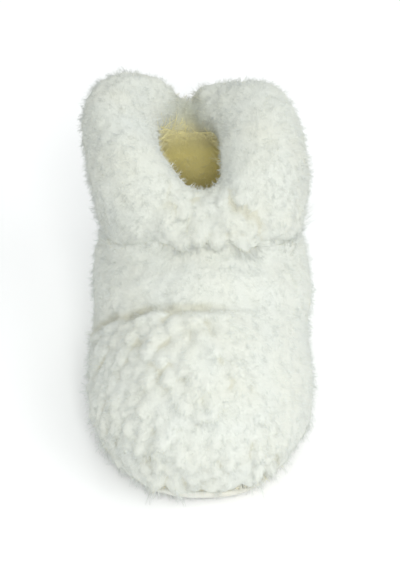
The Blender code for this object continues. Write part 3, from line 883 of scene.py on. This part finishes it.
def stitch_tree():
    """Sews short thread stitches along a closed line."""
    inputs = {"Pitch": "Float", "Length": "Float", "Thickness": "Float", "Thread": "Material"}
    tree, recipe, given = tree_with_inputs("lip_stitches", inputs)
    line = recipe.node("GeometryNodeMeshToCurve", Mesh=given["Geometry"]).outputs[0]
    spaced = recipe.node("GeometryNodeResampleCurve", {"mode": "LENGTH"}, Curve=line,
                         Length=given["Pitch"]).outputs[0]
    tangent = recipe.node("GeometryNodeInputTangent").outputs[0]
    turned = recipe.node("FunctionNodeAlignRotationToVector", {"axis": "X"}, Vector=tangent).outputs[0]
    half = recipe.maths("MULTIPLY", given["Length"], 0.5)
    ends = []
    for way in (-1, 1):
        reach = recipe.maths("MULTIPLY", half, way)
        ends.append(recipe.node("ShaderNodeCombineXYZ", X=reach).outputs[0])
    crown = recipe.maths("MULTIPLY", given["Thickness"], 1.6)
    rising = recipe.node("ShaderNodeCombineXYZ", Z=crown).outputs[0]
    arch = recipe.node("GeometryNodeCurveQuadraticBezier", Resolution=5, Start=ends[0], Middle=rising,
                       End=ends[1]).outputs[0]
    ring = recipe.node("GeometryNodeCurvePrimitiveCircle", Resolution=6, Radius=given["Thickness"]).outputs[0]
    stitch = recipe.node("GeometryNodeCurveToMesh", Curve=arch, Profile_Curve=ring, Fill_Caps=True).outputs[0]
    stitch = recipe.node("GeometryNodeSetShadeSmooth", Geometry=stitch, Shade_Smooth=True).outputs[0]
    sewn = recipe.node("GeometryNodeInstanceOnPoints", Points=spaced, Instance=stitch,
                       Rotation=turned).outputs[0]
    sewn = recipe.node("GeometryNodeRealizeInstances", Geometry=sewn).outputs[0]
    sewn = recipe.node("GeometryNodeSetMaterial", Geometry=sewn, Material=given["Thread"]).outputs[0]
    recipe.node("NodeGroupOutput", Geometry=sewn)
    return tree


def stitches(sole, look):
    """The row of stitches along the sole's lip."""
    line = lip_line(sole, STITCH_INSET, STITCH_LIFT)
    data = bpy.data.meshes.new("lip_line")
    count = len(line)
    data.from_pydata([tuple(p * MM) for p in line], [(k, (k + 1) % count) for k in range(count)], [])
    guide = new_object("lip_line", data)
    values = {"Pitch": STITCH_PITCH * MM, "Length": STITCH_LENGTH * MM, "Thickness": STITCH_RADIUS * MM,
              "Thread": look}
    made = grown("lip_stitches", guide, stitch_tree(), values)
    bpy.data.objects.remove(guide)
    return made


def settle(piece, slot, *nodes):
    """Rides the piece on the shoe and hides the solids it stands for. The slot is not used."""
    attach(piece, "root")
    if nodes:
        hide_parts(*nodes)


# Stage

def studio():
    """A white paper floor, an even sky and three soft lamps."""
    floor_mesh = bpy.data.meshes.new("floor")
    reach = 3.0
    corners = [(-reach, -reach, 0), (reach, -reach, 0), (reach, reach, 0), (-reach, reach, 0)]
    floor_mesh.from_pydata(corners, [], [(0, 1, 2, 3)])
    floor = new_object("floor", floor_mesh)
    look, recipe, shader = surface("floor_paper", 0.9, 0.0)
    speck = recipe.node("ShaderNodeTexNoise", Scale=40.0, Detail=2.0).outputs[0]
    duller, brighter = (0.97, 0.97, 0.97, 1.0), (0.99, 0.99, 0.99, 1.0)
    recipe.give(shader.inputs["Base Color"], mixed(recipe, speck, duller, brighter))
    floor_mesh.materials.append(look)
    scene = bpy.context.scene
    scene.world = bpy.data.worlds.new("studio")
    scene.world.use_nodes = True
    sky = scene.world.node_tree.nodes["Background"]
    sky.inputs["Color"].default_value = (0.97, 1.0, 1.0, 1.0)
    sky.inputs["Strength"].default_value = 0.64
    lamps = (
        ("key", (0.05, -0.80, 0.84), 0.4, 5.7),
        ("fill", (0.75, -0.45, 0.75), 0.8, 3.4),
        ("back", (0.10, 0.80, 0.90), 0.8, 2.4),
    )
    for label, place, size, power in lamps:
        lamp = bpy.data.lights.new(label, "AREA")
        lamp.size = size
        lamp.energy = power
        made = new_object(label, lamp)
        made.location = place
        made.rotation_euler = (Vector((0.0, 0.0, 0.04)) - Vector(place)).to_track_quat("-Z", "Y").to_euler()


def photo_camera():
    """The photograph's angle: 43 degrees above the floor and straight at the toe, framing the one shoe."""
    elevation, distance, view_height = math.radians(43.0), 0.9, 0.2
    aim = Vector((0.0, -0.002, 0.0492))
    lens = bpy.data.cameras.new("photo")
    lens.sensor_fit = "VERTICAL"
    lens.sensor_height = 24.0
    lens.lens = lens.sensor_height * distance / view_height
    camera = new_object("photo", lens)
    camera.location = aim + Vector((0.0, -math.cos(elevation), math.sin(elevation))) * distance
    camera.rotation_euler = (aim - camera.location).to_track_quat("-Z", "Y").to_euler()
    bpy.context.scene.camera = camera


def main():
    bpy.context.scene.view_settings.view_transform = "Standard"
    wool = fibre_wool("wool_fibre", WOOL_TIP, FLEECE)
    cuff_wool = fibre_wool("cuff_wool_fibre", CUFF_TIP, CUFF_LINING_PAINTED_SHADE)
    pile = bed_wool("wool_bed", WOOL_BED, FLEECE, COLLAR_FLEECE_PAINTED_SHADE)
    cuff_pile = bed_wool("cuff_wool_bed", CUFF_BED, CUFF_LINING_PAINTED_SHADE, COLLAR_FLEECE_PAINTED_SHADE)
    upper, cuff = upper_bed(), cuff_bed()
    for piece in (upper, cuff):
        move_points(piece.data, leaned(points_of(piece.data)))
    skin = shared_skin(upper, cuff)
    dress_upper(upper, pile, lay_on(skin, upper, 0.2))
    dress_cuff(cuff, cuff_pile, lay_on(skin, cuff, 0.8))
    settle(upper, "pile", "upper")
    settle(cuff, "cuff_pile", "cuff")
    tree = fibre_tree()
    common = {"Turns": 0.9, "Spread": 0.35, "Droop": 0.2, "Softness": 0.45, "Wisp": 2.4 * MM, "Clump": 0.6,
              "Thickness": 0.10 * MM, "Joints": 3}
    for name, source, look, spacing, seed, slot in (
        ("toe_left", upper, wool, 0.60, 3, "pile"),
        ("toe_right", upper, wool, 0.60, 4, "pile"),
        ("ankle", upper, wool, 0.68, 5, "pile"),
        ("mouth", upper, wool, 0.85, 8, "pile"),
        ("cuff_left", cuff, cuff_wool, 0.58, 6, "cuff_pile"),
        ("cuff_right", cuff, cuff_wool, 0.58, 7, "cuff_pile"),
    ):
        values = {"Cover": name, "Spacing": spacing * MM, "Seed": seed, "Wool": look}
        fibres = grown(f"{name}_fibres", source, tree, {**common, **values})
        settle(fibres, slot)
    sole = smooth_copy("outsole", "sole_suede", suede(), 2)
    settle(sole, "sole", "outsole")
    settle(stitches(sole, thread()), "sole")
    footbed = smooth_copy("insole", "footbed_fleece", fleece(), 2)
    settle(footbed, "footbed", "insole")
    studio()
    photo_camera()


main()
